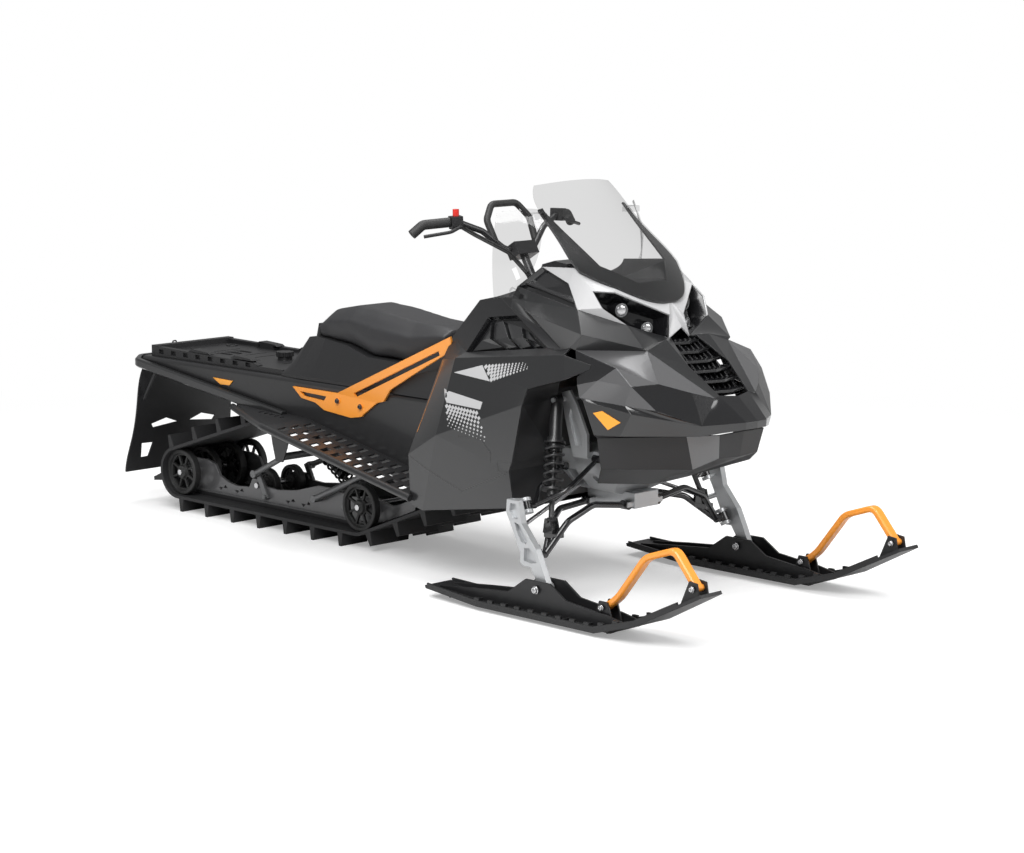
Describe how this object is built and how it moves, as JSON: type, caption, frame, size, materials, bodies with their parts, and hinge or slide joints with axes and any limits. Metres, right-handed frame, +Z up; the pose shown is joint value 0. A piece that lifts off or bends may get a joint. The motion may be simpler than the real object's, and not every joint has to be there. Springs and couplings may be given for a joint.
{
  "type": "utility snowmobile",
  "caption": "Utility snowmobile with a long rubber track, steered skis, a tall clear windshield, a short raised seat and a cargo deck over the tunnel.",
  "frame": {"origin": "on the ground under the middle of the machine's bounding box", "axes": "+X forward, +Y to the rider's left, +Z up"},
  "size_m": [3.29, 1.163, 1.3813],
  "materials": {
    "charcoal_paint": "satin moulded body panel",
    "black_plastic": "fine-grained moulded plastic",
    "gloss_black": "gloss black plastic",
    "silver_paint": "silver-grey body paint",
    "light_grey": "light grey body paint",
    "orange_paint": "orange powder coat",
    "amber_lens": "amber reflector lens",
    "red_plastic": "red push button",
    "clear_screen": "clear lightly tinted screen",
    "lamp_glass": "lamp lens",
    "alloy": "cast and machined aluminium",
    "grey_alloy": "dark anodised aluminium",
    "black_steel": "black powder coated steel",
    "bright_steel": "bright steel shaft",
    "track_rubber": "track rubber",
    "rubber": "soft rubber",
    "seat_cover": "seat cover",
    "iron": "engine casting"
  },
  "bodies": {
    "root": {"arch_liners": "black_plastic", "axles": "bright_steel", "belly_pan": "black_plastic", "bulkhead": "alloy", "cargo_deck": "black_plastic", "chin": "gloss_black", "console": "black_plastic", "engine": "iron", "front_bumper": "charcoal_paint", "fuel_tank": "charcoal_paint", "gauge": "gloss_black", "grille": "gloss_black", "headlamps": "lamp_glass", "hitch": "black_steel", "hood": "charcoal_paint", "intake_vents": "gloss_black", "knee_panels": "black_plastic", "lamp_housing": "gloss_black", "lamp_surround": "light_grey", "lower_arms": "black_steel", "lower_cowl": "silver_paint", "nose_cowl": "charcoal_paint", "rear_bumper": "grey_alloy", "reflectors": "amber_lens", "running_boards": "grey_alloy", "seat": "seat_cover", "seat_base": "black_plastic", "shocks": "black_steel", "side_braces": "orange_paint", "side_deflectors": "clear_screen", "side_louvres": "charcoal_paint", "side_panels": "charcoal_paint", "skid_plates": "grey_alloy", "slide_rails": "alloy", "sliders": "black_plastic", "snow_flap": "black_plastic", "springs": "black_steel", "suspension_arms": "grey_alloy", "track": "track_rubber", "tunnel": "black_steel", "under_pan": "black_plastic", "upper_arms": "black_steel", "wheels": "rubber", "windshield": "clear_screen", "windshield_frame": "charcoal_paint"},
    "steering": {"handlebar": "black_steel", "grips": "rubber", "bar_controls": "black_plastic", "stop_button": "red_plastic", "grab_strap": "rubber", "control_hoses": "rubber", "steering_post": "black_steel"},
    "spindle_right": {"spindle_right": "alloy"},
    "spindle_left": {"spindle_left": "alloy"},
    "tie_rod_right": {"tie_rod_right": "bright_steel"},
    "tie_rod_left": {"tie_rod_left": "bright_steel"},
    "ski_right": {"ski_right": "black_plastic", "ski_handle_right": "orange_paint"},
    "ski_left": {"ski_left": "black_plastic", "ski_handle_left": "orange_paint"}
  },
  "joints": [
    {"name": "steering", "type": "hinge", "parent": "root", "child": "steering", "pos_m": [0.345, 0, 1.1], "axis": [-0.509, 0, 0.8607], "range_deg": [-38, 38]},
    {"name": "spindle_right_turn", "type": "hinge", "parent": "root", "child": "spindle_right", "pos_m": [0.862, -0.462, 0.195], "axis": [-0.4042, 0.1327, 0.905], "range_deg": [-33, 33]},
    {"name": "tie_rod_right_turn", "type": "hinge", "parent": "spindle_right", "child": "tie_rod_right", "pos_m": [0.758, -0.444, 0.262], "axis": [-0.4042, 0.1327, 0.905], "range_deg": [-33, 33]},
    {"name": "ski_right_pitch", "type": "hinge", "parent": "spindle_right", "child": "ski_right", "pos_m": [0.933, -0.4965, 0.1], "axis": [0, 1, 0], "range_deg": [-15, 15]},
    {"name": "spindle_left_turn", "type": "hinge", "parent": "root", "child": "spindle_left", "pos_m": [0.862, 0.462, 0.195], "axis": [-0.4042, -0.1327, 0.905], "range_deg": [-33, 33]},
    {"name": "tie_rod_left_turn", "type": "hinge", "parent": "spindle_left", "child": "tie_rod_left", "pos_m": [0.758, 0.444, 0.262], "axis": [-0.4042, -0.1327, 0.905], "range_deg": [-33, 33]},
    {"name": "ski_left_pitch", "type": "hinge", "parent": "spindle_left", "child": "ski_left", "pos_m": [0.933, 0.4965, 0.1], "axis": [0, 1, 0], "range_deg": [-15, 15]}
  ],
  "couplings": [
    {"joint": "spindle_right_turn", "follows": "steering", "ratio": 0.85},
    {"joint": "tie_rod_right_turn", "follows": "steering", "ratio": -0.85},
    {"joint": "spindle_left_turn", "follows": "steering", "ratio": 0.85},
    {"joint": "tie_rod_left_turn", "follows": "steering", "ratio": -0.85}
  ]
}
